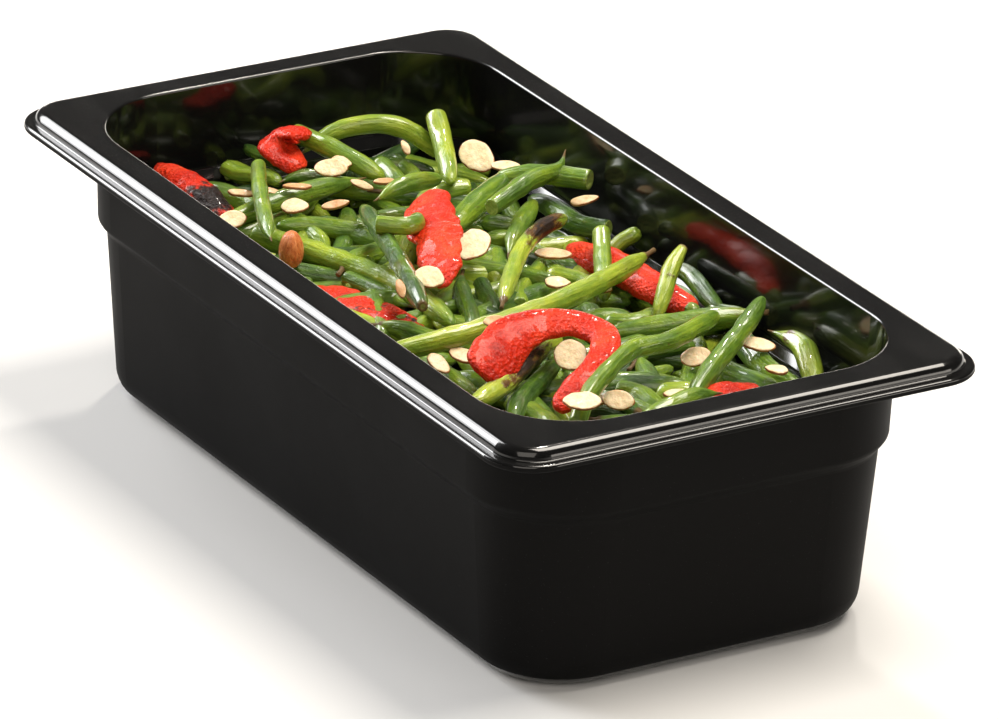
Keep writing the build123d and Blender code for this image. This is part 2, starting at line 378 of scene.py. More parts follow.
def almond_flesh():
    """Sliced almond: cream face with faint fibres, and a thin brown line of skin round the edge."""
    g = Graph("almond_slice")
    place = g.position()
    rim = g.attribute("rim")
    toast = g.attribute("toast")
    fibre = g.noise(place, 480.0, 5.0, 0.7)
    colour = g.ramp(fibre, [
        (0.32, (0.68, 0.49, 0.25)),
        (0.44, (0.80, 0.64, 0.38)),
        (0.7, (0.90, 0.78, 0.54)),
    ])
    warm = g.math("MULTIPLY", toast, g.span(g.noise(place, 190.0, 3.0), 0.25, 0.7, 0.35, 1.0))
    colour = g.mix(warm, colour, (0.52, 0.24, 0.07))
    edge = g.math("ADD", rim, g.span(g.noise(place, 500.0, 3.0), 0.3, 0.7, -0.35, 0.25))
    colour = g.mix(g.span(edge, 0.36, 0.66), colour, (0.34, 0.115, 0.035))
    g.set(Base_Color=colour, Roughness=g.span(fibre, 0.3, 0.7, 0.40, 0.58))
    g.set(Coat_Weight=0.25, Coat_Roughness=0.2, Subsurface_Weight=0.15, Subsurface_Scale=0.002)
    g.set(Normal=g.bump(g.noise(place, 800.0, 3.0), 0.6, 0.0005))
    return g.material


def almond_brown():
    """Whole almond: brown skin with lengthwise wrinkles and a little oil."""
    g = Graph("almond_skin")
    grain = g.attribute("grain", "Vector")
    wrinkle = g.noise(g.stretch(grain, (900, 900, 520)), 1.0, 4.0, 0.7)
    colour = g.ramp(wrinkle, [
        (0.3, (0.420, 0.090, 0.020)),
        (0.5, (0.700, 0.200, 0.050)),
        (0.75, (0.860, 0.400, 0.140)),
    ])
    g.set(Base_Color=colour, Roughness=0.42, Coat_Weight=0.3, Coat_Roughness=0.2)
    g.set(Normal=g.bump(wrinkle, 0.8, 0.0008))
    return g.material


def painted_core_shade():
    """Painted shade: near-black green for the inside of the heap that shows between the beans, standing in for
    the shadow there.
    """
    g = Graph("salad_core_painted_shade")
    place = g.position()
    colour = g.ramp(g.noise(place, 160.0, 4.0, 0.6), [
        (0.35, (0.004, 0.008, 0.002)),
        (0.75, (0.020, 0.038, 0.008)),
    ])
    g.set(Base_Color=colour, Roughness=g.span(g.noise(place, 90.0), 0.3, 0.7, 0.35, 0.6))
    g.set(Normal=g.bump(g.noise(place, 300.0, 3.0), 0.6, 0.001))
    return g.material


bean_material = bean_skin()
pepper_material = pepper_flesh()
slice_material = almond_flesh()
nut_material = almond_brown()
painted_shade_material = painted_core_shade()


# ---------------------------------------------------------------- mesh helpers
class Shape:
    """Vertices, faces and per-vertex values of one piece, gathered part by part."""

    def __init__(self):
        self.points = []
        self.faces = []
        self.values = {}

    def add(self, points, faces, **values):
        first = sum(len(p) for p in self.points)
        self.points.append(np.asarray(points, float))
        self.faces.extend(tuple(i + first for i in f) for f in faces)
        for key, value in values.items():
            self.values.setdefault(key, []).append(np.asarray(value, np.float32))

    def build(self, name, material, nodes=()):
        mesh = bpy.data.meshes.new(name)
        mesh.from_pydata(np.concatenate(self.points).tolist(), [], self.faces)
        for key, parts in self.values.items():
            data = np.concatenate(parts)
            kind = "FLOAT_VECTOR" if data.ndim == 2 else "FLOAT"
            layer = mesh.attributes.new(key, kind, "POINT")
            layer.data.foreach_set("vector" if data.ndim == 2 else "value", data.ravel())
        mesh.materials.append(material)
        mesh.shade_smooth()
        mesh.update()
        piece = bpy.data.objects.new(name, mesh)
        bpy.context.scene.collection.objects.link(piece)
        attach(piece, "salad")
        if nodes:
            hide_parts(*nodes)
        return piece


def smooth_line(points, spacing):
    """Evenly spaced points on a smooth curve through the given ones, with the distance of each."""
    p = np.asarray(points, float)
    padded = np.vstack([2 * p[0] - p[1], p, 2 * p[-1] - p[-2]])
    dense = []
    for i in range(len(p) - 1):
        a, b, c, d = padded[i:i + 4]
        for t in np.linspace(0, 1, 24, endpoint=False):
            dense.append(0.5 * (
                2 * b + (c - a) * t + (2 * a - 5 * b + 4 * c - d) * t * t + (3 * b - a - 3 * c + d) * t ** 3
            ))
    dense.append(p[-1])
    dense = np.array(dense)
    gone = np.concatenate([[0], np.cumsum(np.linalg.norm(np.diff(dense, axis=0), axis=1))])
    count = max(int(gone[-1] / spacing), 4)
    along = np.linspace(0, gone[-1], count + 1)
    return np.stack([np.interp(along, gone, dense[:, k]) for k in range(3)], axis=1), along


def frames(line):
    """Two directions across a line at each of its points, carried along without twist."""
    ahead = np.gradient(line, axis=0)
    ahead /= np.linalg.norm(ahead, axis=1, keepdims=True)
    side = np.cross(ahead[0], (0, 0, 1))
    if np.linalg.norm(side) < 0.2:
        side = np.cross(ahead[0], (0, 1, 0))
    sides = []
    for t in ahead:
        side = side - t * side.dot(t)
        side = side / np.linalg.norm(side)
        sides.append(side)
    sides = np.array(sides)
    return ahead, sides, np.cross(sides, ahead)


def skin_faces(rings, around):
    """Quads between rings, which start and end in one point each."""
    faces = [(0, 1 + (k + 1) % around, 1 + k) for k in range(around)]
    for r in range(rings - 1):
        low = 1 + r * around
        high = low + around
        faces += [(low + k, low + (k + 1) % around, high + (k + 1) % around, high + k) for k in range(around)]
    last = 1 + rings * around
    low = last - around
    faces += [(low + k, low + (k + 1) % around, last) for k in range(around)]
    return faces


# Each end of a bean from its outermost point inwards: distance from the end and
# radius, both in units of the bean's radius, then cut face and dryness from 0 to 1.
longest_end = 5.6
bean_ends = {
    "cut": [
        (0.1, 0.0, 1, 0), (0.1, 0.3, 1, 0), (0.05, 0.62, 1, 0), (0.0, 0.84, 1, 0),
        (0.01, 0.93, 0.5, 0), (0.12, 0.985, 0.0, 0), (0.4, 1.0, 0, 0),
    ],
    "tip": [
        (0.0, 0.0, 0, 1), (0.12, 0.07, 0, 1), (0.6, 0.12, 0, 0.9), (1.1, 0.2, 0, 0.4),
        (1.7, 0.36, 0, 0.1), (2.4, 0.57, 0, 0), (3.3, 0.79, 0, 0), (4.4, 0.93, 0, 0),
        (5.6, 1.0, 0, 0),
    ],
    "stem": [
        (0.0, 0.0, 0, 1), (0.02, 0.26, 0, 1), (0.7, 0.22, 0, 1), (1.4, 0.25, 0, 1),
        (1.7, 0.44, 0, 0.8), (2.0, 0.52, 0, 0.5), (2.3, 0.56, 0, 0.1), (3.0, 0.74, 0, 0),
        (3.9, 0.91, 0, 0), (5.0, 1.0, 0, 0),
    ],
    "snip": [
        (0.05, 0.0, 1, 0.5), (0.05, 0.22, 1, 0.5), (0.0, 0.42, 0.7, 0.9), (0.06, 0.52, 0, 0.7),
        (0.6, 0.62, 0, 0.15), (1.5, 0.77, 0, 0), (2.7, 0.91, 0, 0), (4.2, 1.0, 0, 0),
    ],
    "round": [
        (0.0, 0.0, 0, 0.3), (0.05, 0.2, 0, 0.2), (0.25, 0.42, 0, 0.05), (0.7, 0.63, 0, 0),
        (1.3, 0.78, 0, 0), (2.1, 0.9, 0, 0), (3.2, 0.97, 0, 0), (4.4, 1.0, 0, 0),
    ],
}


# A bean's section is flattened, and its surface has two seams, dents and waves,
# all as shares of its radius. Fineness is per metre of its length.
bean_flatness = 0.90
seam_height = 0.035
dent_depth = 0.07
dent_fineness = 140
wave_depth = 0.06
wave_fineness = 90


def add_bean(shape, points, radius, ends, shade, rng, char=(), around=20, spacing=1.6, limit=None):
    """Adds one bean along points, in metres.

    char holds the place from 0 to 1, the reach and the strength of each scorch mark.
    """
    line, along = smooth_line(points, spacing * MM)
    if limit is not None:
        line = limit(line, radius)
    length = along[-1]
    reach = min(1.0, 0.45 * length / (longest_end * radius))
    head = [(d * radius * (reach if d > 0.5 else 1), r, c, w) for d, r, c, w in bean_ends[ends[0]]]
    tail = [(length - d * radius * (reach if d > 0.5 else 1), r, c, w) for d, r, c, w in bean_ends[ends[1]]]
    half_step = 0.5 * spacing * MM
    middle = [(s, 1.0, 0, 0) for s in along if head[-1][0] + half_step < s < tail[-1][0] - half_step]
    plan = head + middle + tail[::-1]
    s = np.array([row[0] for row in plan])
    scale = np.array([row[1] for row in plan])
    _, side, over = frames(line)

    def at(values):
        return np.stack([np.interp(s, along, values[:, k]) for k in range(3)], axis=1)

    centre, side, over = at(line), at(side), at(over)
    turn = rng.uniform(0, 2 * pi)
    pitch = rng.uniform(8.5, 11.0) * MM
    start = rng.uniform(0, pitch)
    swell = rng.uniform(0.05, 0.10)
    ridges = rng.choice((3, 4, 5))
    ridge = rng.uniform(0.012, 0.03)
    taper = 1 + rng.uniform(-0.07, 0.07) * (2 * s / length - 1)
    drift = rng.uniform(0, 50)
    angle = np.linspace(0, 2 * pi, around, endpoint=False)
    far_seam = np.exp(-((angle - pi) / 0.25) ** 2)
    near_seam = np.exp(-(np.minimum(angle, 2 * pi - angle) / 0.2) ** 2)
    beat = 0.5 + 0.5 * np.cos(2 * pi * (s - start) / pitch)
    inner = np.clip(np.minimum(s, length - s) / (3 * radius), 0, 1)
    wave = np.array([noise.noise((drift, v * wave_fineness, 0)) for v in s])
    rows = []
    grain = []
    for i in range(len(s)):
        seed = swell * beat[i] ** 1.5 * inner[i] * np.abs(np.sin(angle)) ** 1.5
        seam = seam_height * inner[i] * (far_seam + near_seam)
        level = s[i] * dent_fineness
        dent = np.array([noise.noise((cos(a) * 1.1 + drift, sin(a) * 1.1, level)) for a in angle])
        uneven = 1 + inner[i] * (dent_depth * dent + ridge * np.cos(ridges * angle + drift))
        size = radius * scale[i] * taper[i] * (1 + wave_depth * wave[i]) * (0.97 + seed + seam) * uneven
        wide = size * np.cos(angle)
        high = size * bean_flatness * np.sin(angle)
        across = wide * cos(turn) - high * sin(turn)
        above = wide * sin(turn) + high * cos(turn)
        rows.append(centre[i] + np.outer(across, side[i]) + np.outer(above, over[i]))
        lengthwise = np.full(around, s[i] + drift * 0.1)
        grain.append(np.stack([wide + drift * 0.01, size * np.sin(angle), lengthwise], axis=1))
    points = np.vstack([centre[:1]] + rows[1:-1] + [centre[-1:]])
    values = np.vstack([grain[0][:1]] + grain[1:-1] + [grain[-1][:1]])
    rings = len(s) - 2

    def spread(per_ring):
        return np.concatenate([per_ring[:1], np.repeat(per_ring[1:-1], around), per_ring[-1:]])

    burn = np.zeros(len(points))
    for place, wide, strength in char:
        burn = np.maximum(burn, strength * np.exp(-((spread(s) / length - place) / wide) ** 2))
    shape.add(
        points,
        skin_faces(rings, around),
        grain=values,
        shade=np.full(len(points), shade),
        char=burn,
        cut=spread(np.array([row[2] for row in plan], float)),
        dry=spread(np.array([row[3] for row in plan], float)),
    )


def bowed(start, end, bow, arch, sway, rng):
    """Points of a bean from start to end, off the chord by its bow and arch, with a slight sway."""
    a = np.array(start, float)
    b = np.array(end, float)
    chord = b - a
    sideways = np.array([-chord[1], chord[0], 0]) / np.linalg.norm(chord[:2])
    phase = rng.uniform(-1, 1)
    lift = rng.uniform(-0.5, 0.5)
    made = []
    for t in (0, 0.17, 0.33, 0.5, 0.67, 0.83, 1):
        hump = 4 * t * (1 - t)
        drift = sin(2 * pi * t) * phase * sway
        rise = arch * hump + lift * sway * sin(2 * pi * t)
        made.append(a + chord * t + sideways * (bow * hump + drift) + np.array([0, 0, rise]))
    return np.array(made) * MM


# ---------------------------------------------------------------- top beans
# Heights at which the side of the hollow changes slope, and how far inside the
# rim's outline it is there. Used to keep the food in the pan.
hollow = [(3.2, 24.2), (62.1, 19.6), (65.8, 16.65), (95.0, 15.7)]
half_length = 162.5
half_width = 88.0
corner_centre = 48.0
floor_top = 3.2
wall_gap = 0.6


def keep_inside(line, radius):
    """Moves points of a line so that a bean of that radius stays inside the pan's hollow."""
    made = line / MM
    reach = radius / MM
    made[:, 2] = np.maximum(made[:, 2], floor_top + reach + wall_gap)
    inset = np.interp(made[:, 2] - 0.4 * reach, [h for h, _ in hollow], [i for _, i in hollow])
    room = corner_centre - inset - reach - wall_gap
    corner = np.array([half_length - corner_centre, half_width - corner_centre])
    over = np.maximum(np.abs(made[:, :2]) - corner, 0)
    far = np.linalg.norm(over, axis=1)
    pull = np.where(far > room, room / np.maximum(far, 1e-6), 1.0)
    made[:, :2] = np.sign(made[:, :2]) * (np.minimum(np.abs(made[:, :2]), corner) + over * pull[:, None])
    return made * MM


# Points along each bean, its sideways bow and upward arch if there are only two,
# radius, the two ends, shade from light to dark, and scorch marks.
top_beans = {
    "bean_01": ([(-146, -8, 71), (-115, 1, 72)], -3, 0, 2.9, "round tip", 0.85, ()),
    "bean_02": ([(-132, -22, 71), (-111, -13, 71)], 1, 0, 3.4, "cut round", 0.40, ()),
    "bean_03": ([(-110, -14, 72), (-108, 11, 72)], 1, 0, 3.3, "tip round", 0.80, ()),
    "bean_04": ([(-109, 24, 72), (-90, 23, 70)], 0, 0, 4.4, "cut round", 0.46, ()),
    "bean_05": ([(-66, 56, 70), (-29, 64, 71)], -2, 0, 4.2, "round cut", 0.76, ()),
    "bean_06": ([(8, 67, 72), (43, 63, 70)], 1, 0, 3.7, "round round", 0.74, ()),
    "bean_07": ([(62, 55, 72), (104, 54, 69)], -3, 0, 4.8, "round round", 0.58, ()),
    "bean_08": ([(70, 63, 74), (86, 66, 74), (107, 58, 69)], 0, 0, 4.5, "tip round", 0.26,
                ((0.28, 0.07, 0.55),)),
    "bean_09": ([(88, -42, 69), (55, -6, 71)], 2, 0, 4.0, "round round", 0.64, ()),
    "bean_10": ([(30, -45, 69), (66, -42, 70)], 2, 0, 3.7, "cut round", 0.46, ()),
    "bean_11": ([(-80, -32, 71), (-62, -4, 71)], 1, 0, 3.7, "round round", 0.55, ()),
    "bean_12": ([(-21, 21, 72), (-51, 49, 76)], 1, 0, 3.7, "tip round", 0.44, ()),
    "bean_13": ([(20, -16, 69), (-19, 3, 72)], 1, 0, 3.6, "round stem", 0.74, ()),
    "bean_14": ([(-88, -49, 72), (-92, -18, 75), (-97, 12, 74)], 0, 0, 4.1, "snip tip", 0.40, ()),
    "bean_15": ([(-74, -43, 72), (14, -20, 70)], 8, 0, 4.8, "cut round", 0.32, ()),
    "bean_16": ([(-131, 4, 79), (-113, 8, 79), (-94, 17, 74)], 0, 0, 4.1, "cut round", 0.36, ()),
    "bean_17": ([(-121, -1, 75), (-124, 15, 80), (-117, 28, 83), (-112, 38, 80), (-106, 46, 72)], 0, 0, 4.0,
                "tip round", 0.20, ()),
    "bean_18": ([(-72, 0, 77), (-76, 14, 79), (-79, 30, 77)], 0, 0, 3.7, "tip round", 0.34, ()),
    "bean_19": ([(-76, 32, 76), (-97, 41, 81), (-109, 45, 86)], 0, 0, 3.9, "round cut", 0.22, ()),
    "bean_20": ([(-42, 13, 76), (-70, 51, 78)], 1, 0, 4.6, "round round", 0.50, ()),
    "bean_21": ([(-42, 27, 81), (-50, 46, 84), (-55, 60, 84), (-60, 66, 88)], 0, 0, 3.9, "cut tip", 0.50, ()),
    "bean_22": ([(-70, 45, 78), (-59, 57, 81), (-46, 67, 82)], 0, 0, 4.3, "round cut", 0.42, ()),
    "bean_23": ([(-36, -20, 86), (-31, -13, 86), (-33, -7, 85), (-43, -1, 82)], 0, 0, 3.6,
                "cut round", 0.40, ()),
    "bean_24": ([(-67, -7, 78), (-48, -13, 80), (-14, -24, 82), (23, -37, 83)], 0, 0, 3.9,
                "round snip", 0.70, ()),
    "bean_25": ([(-28, 47, 79), (25, -9, 78)], -5, 2, 3.6, "round stem", 0.14, ((0.22, 0.17, 0.95),)),
    "bean_26": ([(20, 33, 71), (-11, 50, 80)], 0, 0, 3.7, "round cut", 0.30, ()),
    "bean_27": ([(43, 38, 72), (28, 57, 88)], 1, 0, 3.6, "round snip", 0.06, ((0.55, 0.05, 0.55),)),
    "bean_28": ([(44, 18, 71), (56, 44, 75), (64, 68, 77)], 0, 0, 4.4, "round stem", 0.46, ()),
    "bean_29": ([(106, 12, 74), (73, 59, 87)], 0, 0, 3.9, "round round", 0.54, ()),
    "bean_30": ([(108, -31, 75), (103, -25, 80), (94, -12, 83.5), (86, 2, 85), (83, 18, 84), (68, 43, 81),
                 (60, 50, 78)], 0, 0, 3.7, "cut tip", 0.42, ()),
    "bean_31": ([(116, -14, 75), (112, 20, 77)], 0, 2, 4.1, "round tip", 0.42, ()),
    "bean_32": ([(82, -54, 76), (53, -6, 77)], -1, 0, 4.2, "round cut", 0.12, ((0.55, 0.3, 0.85),)),
    "bean_33": ([(-53, -49, 79), (-103, -26, 83)], 1, 0, 3.2, "tip cut", 0.40, ()),
    "bean_34": ([(42, -63, 79), (12, 56, 81)], -10, 1, 4.3, "round stem", 0.16, ()),
}


def bean_line(points, bow, arch, rng):
    """A bean's line in metres: its own points, or a bowed one where it has only two."""
    if len(points) > 2:
        return np.array(points, float) * MM
    return bowed(points[0], points[1], bow, arch, 1.2, rng)


# The radii above are for raw beans; cooked ones are a little thinner.
slim = 0.88

for name, (points, bow, arch, radius, ends, shade, char) in top_beans.items():
    rng = Random(name)
    shape = Shape()
    add_bean(
        shape, bean_line(points, bow, arch, rng), radius * slim * MM, ends.split(), shade, rng, char,
        around=24, spacing=1.2, limit=keep_inside,
    )
    shape.build(name, bean_material, [name])


# ---------------------------------------------------------------- beans below
# Start, end, bow, radius and shade of the beans that show between the top ones.
low_beans = [
    ((-103, 10, 69), (-102, 41, 69), 12, 3.2, 0.85),
    ((-116, 34, 69), (-95, 30, 69), 1, 3.2, 0.6),
    ((-78, 22, 70), (-80, 41, 71), 3, 3.8, 0.22),
    ((-56, 28, 70), (-46, 42, 70), 1, 3.4, 0.5),
    ((-46, 24, 69), (-38, 36, 69), 1, 3.4, 0.35),
    ((-78, -20, 69), (-67, -6, 69), 1, 3.3, 0.6),
    ((-60, -33, 68), (-48, -12, 68), 1, 3.3, 0.8),
    ((-49, -31, 68), (-42, -16, 68), 1, 3.8, 0.45),
    ((20, 58, 69), (40, 56, 69), 1, 3.4, 0.5),
    ((36, 63, 69), (52, 66, 69), 1, 3.4, 0.5),
    ((80, 40, 68), (107, 43, 68), 2, 4.6, 0.6),
    ((79, 2, 68), (100, 6, 68), 2, 4.2, 0.45),
    ((-14, 7, 68), (14, -4, 68), 1, 3.4, 0.75),
    ((-38, 25, 68), (-13, 12, 68), 1, 4.4, 0.4),
    ((7, 9, 68), (-24, 36, 68), 1, 3.4, 0.3),
    ((-14, 32, 68), (2, 38, 68), 1, 3.2, 0.3),
    ((17, 26, 68), (38, 21, 68), 1, 3.8, 0.5),
    ((31, 26, 69), (36, 41, 69), -4, 4.4, 0.4),
    ((-16, 58, 70), (-14, 67, 76), 1, 3.0, 0.25),
    ((-88, -45, 67), (-88, -28, 67), 1, 3.8, 0.4),
    ((30, -30, 68), (56, -28, 68), 1, 3.8, 0.2),
    ((85, 12, 68), (95, 22, 68), 1, 4.6, 0.15),
    ((-20, -30, 68), (10, -44, 67), 1, 3.8, 0.5),
    ((4, -18, 67), (34, -10, 67), 2, 3.9, 0.55),
    ((44, -38, 67), (72, -30, 67), 2, 4.0, 0.6),
    ((96, -20, 67), (118, -30, 67), 2, 3.9, 0.5),
    ((112, 30, 67), (124, 8, 67), 2, 3.9, 0.55),
    ((-128, -34, 67), (-104, -26, 67), 2, 3.9, 0.5),
]

rng = Random(11)
shape = Shape()
for start, end, bow, radius, shade in low_beans:
    ends = rng.choice(["round cut", "round round", "tip round", "cut round"]).split()
    add_bean(
        shape, bowed(start, end, bow, 0, 1.0, rng), radius * MM, ends, shade, rng,
        around=16, limit=keep_inside,
    )
shape.build("beans_under", bean_material)


heap_top = 69.5
heap_fall = 7.5


def heap_height(x, y):
    """How high the lower beans reach at a place, in millimetres: level in the middle, lower near the walls."""
    over_x = max(abs(x) - 60, 0) / 80
    over_y = max(abs(y) - 20, 0) / 48
    return heap_top - heap_fall * min(over_x * over_x + over_y * over_y, 1.2)


def random_bean(shape, rng, x, y, z, heading, tilt, length, around):
    """Adds one bean of a random thickness and shade, centred at a place in millimetres."""
    half = 0.5 * length
    step = np.array([cos(heading) * cos(tilt), sin(heading) * cos(tilt), sin(tilt)]) * half
    centre = np.array([x, y, z])
    radius = rng.uniform(3.0, 4.1)
    ends = rng.choice(["cut round", "round tip", "round round", "cut tip", "stem round"]).split()
    shade = min(max(rng.gauss(0.5, 0.2), 0.08), 0.9)
    bow = rng.uniform(-3, 3)
    add_bean(
        shape, bowed(centre - step, centre + step, bow, 0, 1.2, rng), radius * MM, ends, shade, rng,
        around=around, spacing=2.6, limit=keep_inside,
    )


middle_bean_count = 215
rng = Random(23)
shape = Shape()
for i in range(middle_bean_count):
    x = rng.uniform(-132, 132)
    y = rng.uniform(-62, 62)
    z = heap_height(x, y) - rng.uniform(0.5, 7.0)
    random_bean(shape, rng, x, y, z, rng.uniform(0, pi), rng.uniform(-0.10, 0.10), rng.uniform(28, 62), 14)
shape.build("beans_middle", bean_material)

# Rows of beans laid round the inside of the wall, from the bottom up, and a layer
# of them on the pan's bottom. The lower wall leans by wall_slope.
wall_slope = 0.0769
row_count = 7
lowest_row = 8.5
row_rise = 7.6
row_inset = 28.5
bottom_bean_count = 90

rng = Random(31)
shape = Shape()
for row in range(row_count):
    z = lowest_row + row * row_rise
    inset = row_inset - z * wall_slope
    flat_x = half_length - corner_centre
    flat_y = half_width - corner_centre
    reach = corner_centre - inset
    around_corner = 0.5 * pi * reach
    lap = 4 * (flat_x + flat_y) + 4 * around_corner
    gone = rng.uniform(0, 30)
    turn_limit = gone + lap
    while gone < turn_limit:
        length = rng.uniform(30, 60)
        s = (gone + 0.5 * length) % lap
        sign = 1
        if s > 0.5 * lap:
            s -= 0.5 * lap
            sign = -1
        if s < 2 * flat_x:
            x, y, heading = s - flat_x, -flat_y - reach, 0.0
        elif s < 2 * flat_x + around_corner:
            bend = (s - 2 * flat_x) / reach
            x, y, heading = flat_x + reach * sin(bend), -flat_y - reach * cos(bend), bend
        elif s < 2 * flat_x + around_corner + 2 * flat_y:
            x, y, heading = flat_x + reach, s - 2 * flat_x - around_corner - flat_y, 0.5 * pi
        else:
            bend = (s - 2 * flat_x - around_corner - 2 * flat_y) / reach
            x, y, heading = flat_x + reach * cos(bend), flat_y + reach * sin(bend), 0.5 * pi + bend
        random_bean(
            shape, rng, sign * x, sign * y, z + rng.uniform(-1.5, 1.5), heading + rng.uniform(-0.25, 0.25),
            rng.uniform(-0.28, 0.28), length, 12,
        )
        gone += length * rng.uniform(0.80, 0.95)
for i in range(bottom_bean_count):
    random_bean(
        shape, rng, rng.uniform(-118, 118), rng.uniform(-46, 46), rng.uniform(7.5, 9.5),
        rng.uniform(0, pi), rng.uniform(-0.03, 0.03), rng.uniform(30, 60), 12,
    )
shape.build("beans_against_pan", bean_material)


core_inset = 32
# Height and share of the full plan at each level of the core.
core_levels = [
    (8, 0.0), (8, 0.6), (10, 0.95), (20, 1.0), (40, 1.0), (52, 0.98),
    (57, 0.88), (59, 0.6), (60, 0.3), (60.5, 0.0),
]


def heap_core():
    """A dark closed lump that fills the heap behind the beans; its near-black colour is painted shade for the
    gaps between them.
    """
    around = 96
    points = []
    for z, share in core_levels:
        inset = core_inset - z * wall_slope
        for k in range(around if 0 < share else 1):
            angle = 2 * pi * k / around
            x = (half_length - inset) * share * np.sign(cos(angle)) * abs(cos(angle)) ** 0.35
            y = (half_width - inset) * share * np.sign(sin(angle)) * abs(sin(angle)) ** 0.35
            bump = noise.noise((x * 0.08, y * 0.08, z * 0.08)) * 2.0 * (share > 0)
            points.append(((x - bump) * MM, (y - bump) * MM, (z + bump) * MM))
    shape = Shape()
    shape.add(points, skin_faces(len(core_levels) - 2, around))
    shape.build("salad_core_painted_shade", painted_shade_material, ["bean_bed"])


heap_core()


# ---------------------------------------------------------------- peppers
# Height in millimetres and fineness of each wave of noise: a strip's folds and
# the grain of its surface. Its section is an oval with its corners squared by a
# power, it tapers at each end over a share of its width, and its edges are jagged.
fold_waves = [(1.5, 120), (0.7, 270), (0.25, 600)]
grain_waves = [(0.25, 150), (0.16, 420), (0.10, 900)]
strip_squareness = 0.6
strip_taper = 0.45
jag_depth = 0.30
jag_fineness = 150


def waves_at(place, waves):
    """The sum of some waves of noise at a place."""
    return sum(height * noise.noise(place * fineness) for height, fineness in waves)


def add_strip(shape, points, widths, thickness, rolls, curl, char=(), around=40, ragged=0.9):
    """Adds one pepper strip: a thick ribbon with folds and ragged edges, curled down at both sides.

    Widths, and rolls in degrees, are spread evenly along it.
    """
    line, along = smooth_line(np.array(points, float) * MM, 0.7 * MM)
    length = along[-1]
    ahead, side, _ = frames(line)
    share = along / length
    marks = np.linspace(0, 1, len(widths))
    width = np.interp(share, marks, widths) * MM
    roll = np.radians(np.interp(share, np.linspace(0, 1, len(rolls)), rolls))
    edge = np.clip(np.minimum(along, length - along) / (strip_taper * np.mean(width)), 0, 1)
    close = np.sqrt(np.clip(1 - (1 - edge) ** 2, 0, 1))
    angle = np.linspace(0, 2 * pi, around, endpoint=False)
    flat = np.sign(np.cos(angle)) * np.abs(np.cos(angle)) ** strip_squareness
    thick = np.sign(np.sin(angle)) * np.abs(np.sin(angle)) ** strip_squareness
    rows = []
    for i in range(len(line)):
        tangent = ahead[i]
        across = np.cross(tangent, (0, 0, 1))
        across = side[i] if np.linalg.norm(across) < 0.3 else across / np.linalg.norm(across)
        upward = np.cross(across, tangent)
        a = across * cos(roll[i]) + upward * sin(roll[i])
        u = upward * cos(roll[i]) - across * sin(roll[i])
        low_jag, high_jag = [
            1 + jag_depth * ragged * noise.noise((along[i] * jag_fineness, 9 * sign, length * 50))
            for sign in (-1, 1)
        ]
        x = flat * 0.5 * width[i] * close[i] * np.where(flat > 0, high_jag, low_jag)
        y = thick * 0.5 * thickness * MM * (0.35 + 0.65 * close[i]) * (close[i] > 0)
        y = y - curl * x * x / max(width[i], 1e-6)
        sheet = [Vector(line[i] + a * v) for v in x]
        fold = np.array([waves_at(v, fold_waves) for v in sheet])
        y = y + fold * ragged * MM * close[i]
        rows.append(line[i] + np.outer(x, a) + np.outer(y, u))
    points = np.vstack([rows[0].mean(0)[None]] + rows[1:-1] + [rows[-1].mean(0)[None]])
    middle = np.vstack([line[:1], np.repeat(line[1:-1], around, axis=0), line[-1:]])
    outward = points - middle
    outward /= np.maximum(np.linalg.norm(outward, axis=1, keepdims=True), 1e-6)
    push = np.array([waves_at(Vector(p), grain_waves) for p in points])
    points = points + outward * (push * ragged * MM)[:, None]
    where = np.concatenate([share[:1], np.repeat(share[1:-1], around), share[-1:]])
    burn = np.zeros(len(points))
    for place, wide, strength in char:
        burn = np.maximum(burn, strength * np.exp(-((where - place) / wide) ** 2))
    shape.add(points, skin_faces(len(line) - 2, around), char=burn)


# Points along the strip, widths, thickness, rolls, curl of the edges, scorch marks,
# raggedness, and the nodes that it replaces.
peppers = {
    "pepper_01": ([(-142, -41, 71), (-124, -42, 74), (-108, -43, 74), (-94, -42, 71)], [9, 12, 12, 8], 4.6,
                  [12, 0, -8], 0.6, ((0.80, 0.2, 0.95),), 0.7, ["pepper_01"]),
    "pepper_02": ([(-114, -1, 74), (-118, -7, 79), (-121, -9, 82), (-122, -6, 84), (-121, -1, 84),
                   (-121, 4, 82)],
                  [10, 13, 14, 13, 11, 8], 3.4, [0, 10, 16, 6], 0.4, (), 1.1, ["pepper_02"]),
    "pepper_03": ([(-60, 11, 81), (-42, 4, 83), (-21, -6, 83.5), (-10, -11, 82), (2, -17, 78)],
                  [15, 15, 17, 15, 8], 2.8, [-30, -12, -20, -26], 0.2, (), 0.8, ["pepper_03"]),
    "pepper_04": ([(-26, 48, 69), (-4, 49, 73), (18, 51, 73), (37, 57, 69)], [9, 13, 13, 8], 5.0,
                  [-14, -12, -12], 0.6, (), 0.35, ["pepper_04"]),
    "pepper_05": ([(73, -45, 80), (68, -36, 84), (63, -27, 87), (62, -16, 88.5), (67, -7, 89), (76, -3, 88),
                   (86, -8, 86.5), (93, -17, 84), (96, -25, 81), (99, -33, 76)],
                  [14, 17, 15, 12, 10, 10, 10, 9, 9, 7], 3.8, [-42, -36, -24, -10, 10, 24], 0.3, (), 0.4,
                  ["pepper_05", "pepper_06"]),
    # pepper_07's first scorch mark is a real dark patch; its second, at 0.9 along, is painted shade for the
    # shadow by the near wall.
    "pepper_07": ([(-39, -43, 66), (-22, -40, 69), (-5, -36, 69.5), (10, -29, 67)], [10, 15, 15, 10], 3.8,
                  [-8, -4], 0.3, ((0.6, 0.2, 0.35), (0.9, 0.12, 0.5)), 0.8, ["pepper_07"]),
    "pepper_08": ([(98, 14, 71), (107, 24, 75), (104, 38, 72)], [7, 10, 7], 4.2, [0, -8], 0.5, (), 0.6,
                  ["pepper_08"]),
}

